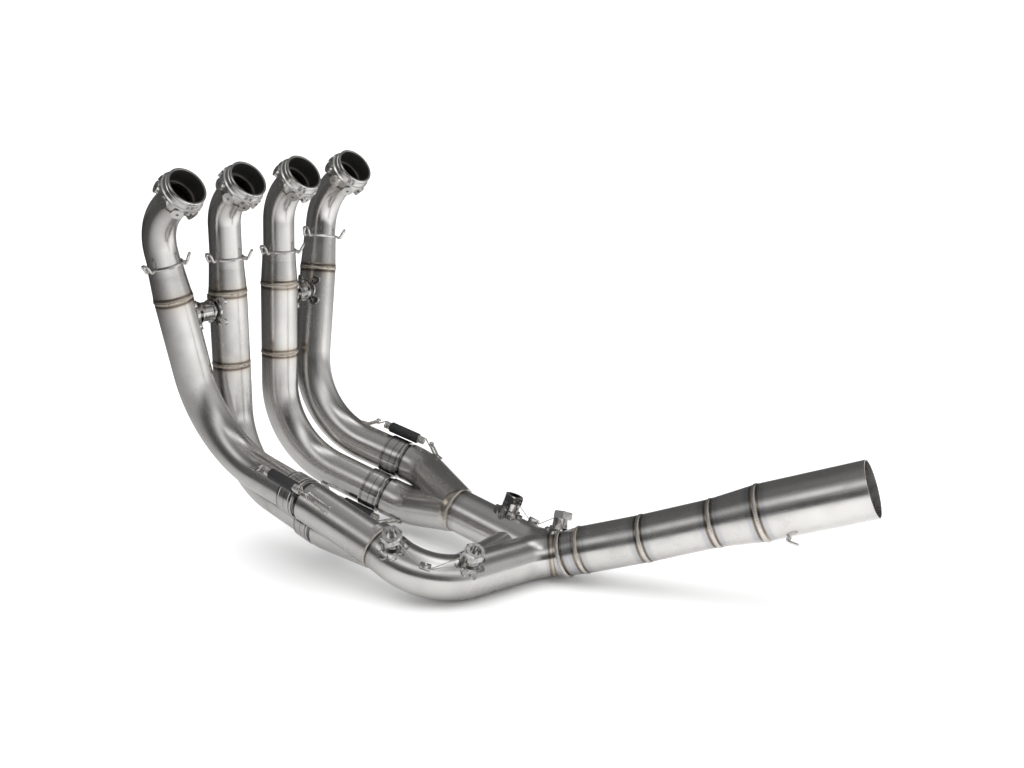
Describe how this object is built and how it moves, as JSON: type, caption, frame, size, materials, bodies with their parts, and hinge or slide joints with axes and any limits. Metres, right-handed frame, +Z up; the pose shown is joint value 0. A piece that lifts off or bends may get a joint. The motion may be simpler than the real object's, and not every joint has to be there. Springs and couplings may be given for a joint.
{
  "type": "motorcycle exhaust header",
  "caption": "Stainless exhaust header for an in-line four motorcycle engine: four pipes slip into two pairs, cross over and merge into one pipe with plugged sensor bosses and a spring hook.",
  "frame": {"origin": "middle of the header's box, on the floor that its lowest pipe touches", "axes": "+X to the rear along the header's length, +Y from pipe 1 to pipe 4, +Z up"},
  "size_m": [0.7714, 0.3654, 0.4602],
  "materials": {
    "header_pipes": "satin stainless tube with heat tint at the welds",
    "rear_pipes": "satin stainless tube with scuffs and blue heat tint at the welds",
    "machined_rings": "turned stainless, semi-bright",
    "cast_fittings": "milled stainless, bright",
    "polished_plugs": "polished steel"
  },
  "bodies": {
    "root": {"balance_tube": "rear_pipes", "boss_plug_far_front": "polished_plugs", "boss_plug_far_rear": "polished_plugs", "boss_plug_near_front": "polished_plugs", "boss_plug_near_rear": "polished_plugs", "collector_far": "header_pipes", "collector_near": "header_pipes", "cone_sleeve_1": "header_pipes", "cone_sleeve_2": "header_pipes", "cone_sleeve_3": "header_pipes", "cone_sleeve_4": "header_pipes", "crossover_saddle_1": "cast_fittings", "crossover_saddle_2": "cast_fittings", "crossover_saddle_3": "cast_fittings", "crossover_saddle_4": "cast_fittings", "crossover_sleeve_12": "cast_fittings", "crossover_sleeve_34": "cast_fittings", "lower_bend_1": "header_pipes", "lower_bend_2": "header_pipes", "lower_bend_3": "header_pipes", "lower_bend_4": "header_pipes", "main_pipe_front": "rear_pipes", "main_pipe_rear": "rear_pipes", "main_ring": "rear_pipes", "mid_tube_2": "header_pipes", "mid_tube_3": "header_pipes", "outlet_cone": "rear_pipes", "outlet_pipe": "rear_pipes", "port_spigot_1": "machined_rings", "port_spigot_2": "machined_rings", "port_spigot_3": "machined_rings", "port_spigot_4": "machined_rings", "secondary_far": "rear_pipes", "secondary_near": "rear_pipes", "sensor_boss_far_front": "cast_fittings", "sensor_boss_far_rear": "cast_fittings", "sensor_boss_near_front": "cast_fittings", "sensor_boss_near_rear": "cast_fittings", "slip_collar_1": "machined_rings", "slip_collar_2": "machined_rings", "slip_collar_3": "machined_rings", "slip_collar_4": "machined_rings", "upper_bend_1": "header_pipes", "upper_bend_2": "header_pipes", "upper_bend_3": "header_pipes", "upper_bend_4": "header_pipes"}
  },
  "joints": []
}
